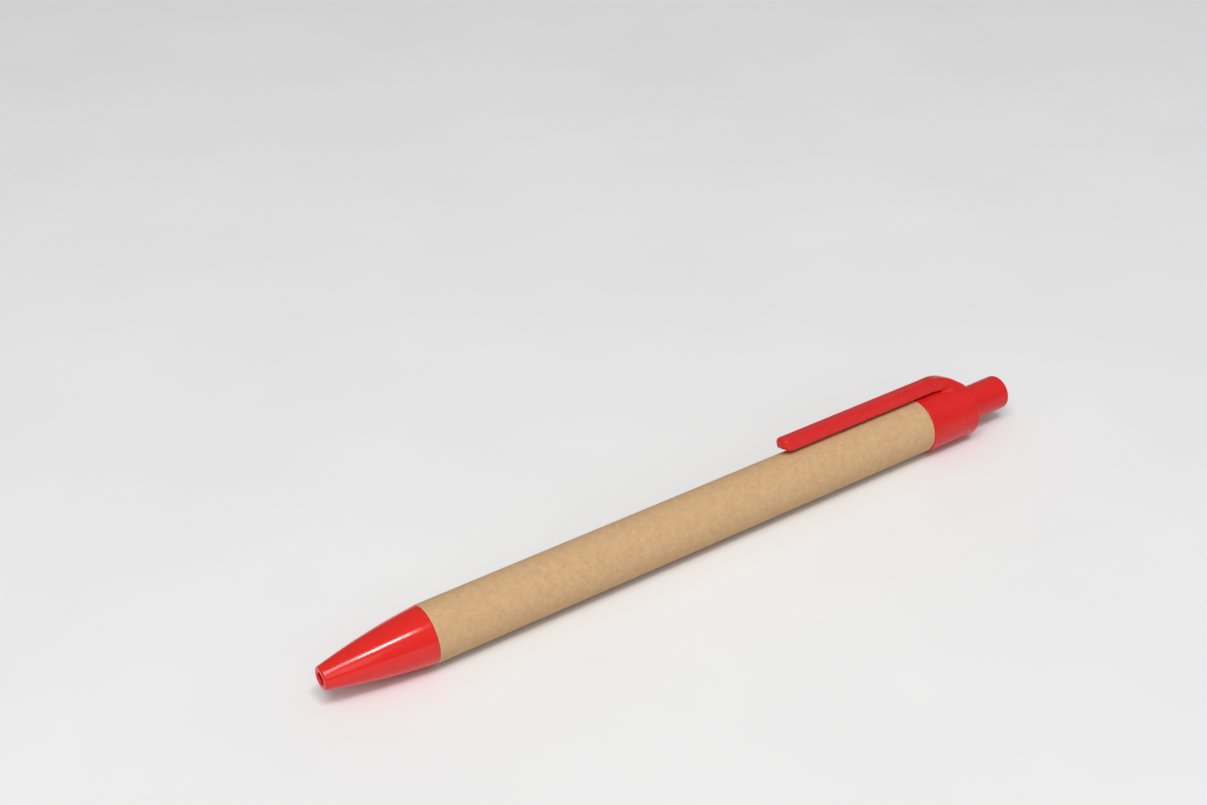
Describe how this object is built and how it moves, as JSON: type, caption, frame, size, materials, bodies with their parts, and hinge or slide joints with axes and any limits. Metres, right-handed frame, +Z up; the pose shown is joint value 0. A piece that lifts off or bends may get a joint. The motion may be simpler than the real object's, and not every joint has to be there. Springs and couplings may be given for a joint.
{
  "type": "retractable ballpoint pen",
  "caption": "Click ballpoint pen: wound kraft paper barrel, red plastic nose cone, collar with a one-piece pocket clip, and a push button that drives a sprung refill.",
  "frame": {"origin": "below the middle of the pen's length, on the surface that its collar lies on", "axes": "+X along the pen from the nose to the button, +Z up; the pen's axis is 5.15 mm above the origin, and the clip stands 15 degrees from +Z towards +Y"},
  "size_m": [0.14, 0.0104, 0.0129],
  "materials": {
    "nose_plastic": "bright red moulded plastic, high gloss",
    "red_plastic": "red moulded plastic, satin gloss",
    "kraft_paper": "uncoated brown kraft paper with short fibres",
    "grey_board": "wound grey board",
    "white_plastic": "white slippery moulded plastic",
    "clear_tube": "translucent extruded tube",
    "tip_metal": "turned nickel silver",
    "ball_carbide": "polished hard metal",
    "ink": "blue ink paste",
    "grease": "pale yellow grease",
    "spring_steel": "drawn spring wire"
  },
  "bodies": {
    "barrel": {"nose_cone": "nose_plastic", "paper_core": "grey_board", "kraft_wrap": "kraft_paper", "collar": "red_plastic", "guide_sleeve": "white_plastic", "return_spring": "spring_steel"},
    "clip": {"clip": "red_plastic"},
    "button": {"push_button": "red_plastic"},
    "refill": {"refill_tube": "clear_tube", "tip_holder": "white_plastic", "writing_tip": "tip_metal", "ink": "ink", "grease_plug": "grease"},
    "rotor": {"cam_rotor": "white_plastic"},
    "ball": {"ball": "ball_carbide"}
  },
  "joints": [
    {"name": "button_press", "type": "slide", "parent": "barrel", "child": "button", "axis": [-1, 0, 0], "range_m": [0, 0.0052], "stiffness_N_per_m": 300, "springref_m": -0.002},
    {"name": "refill_slide", "type": "slide", "parent": "barrel", "child": "refill", "axis": [-1, 0, 0], "range_m": [0, 0.0052], "deforming": ["return_spring"]},
    {"name": "rotor_turn", "type": "hinge", "parent": "refill", "child": "rotor", "pos_m": [0.044, 0, 0.00515], "axis": [1, 0, 0], "range_deg": [-2, 2]},
    {"name": "ball_roll", "type": "hinge", "parent": "refill", "child": "ball", "pos_m": [-0.068, 0, 0.00515], "axis": [0, 1, 0], "continuous": true},
    {"name": "clip_flex", "type": "hinge", "parent": "barrel", "child": "clip", "pos_m": [0.05995, 0.00135, 0.01017], "axis": [0, 0.9659, -0.2588], "range_deg": [0, 5], "stiffness_Nm_per_rad": 1}
  ],
  "couplings": [
    {"joint": "refill_slide", "follows": "button_press", "ratio": 1}
  ]
}
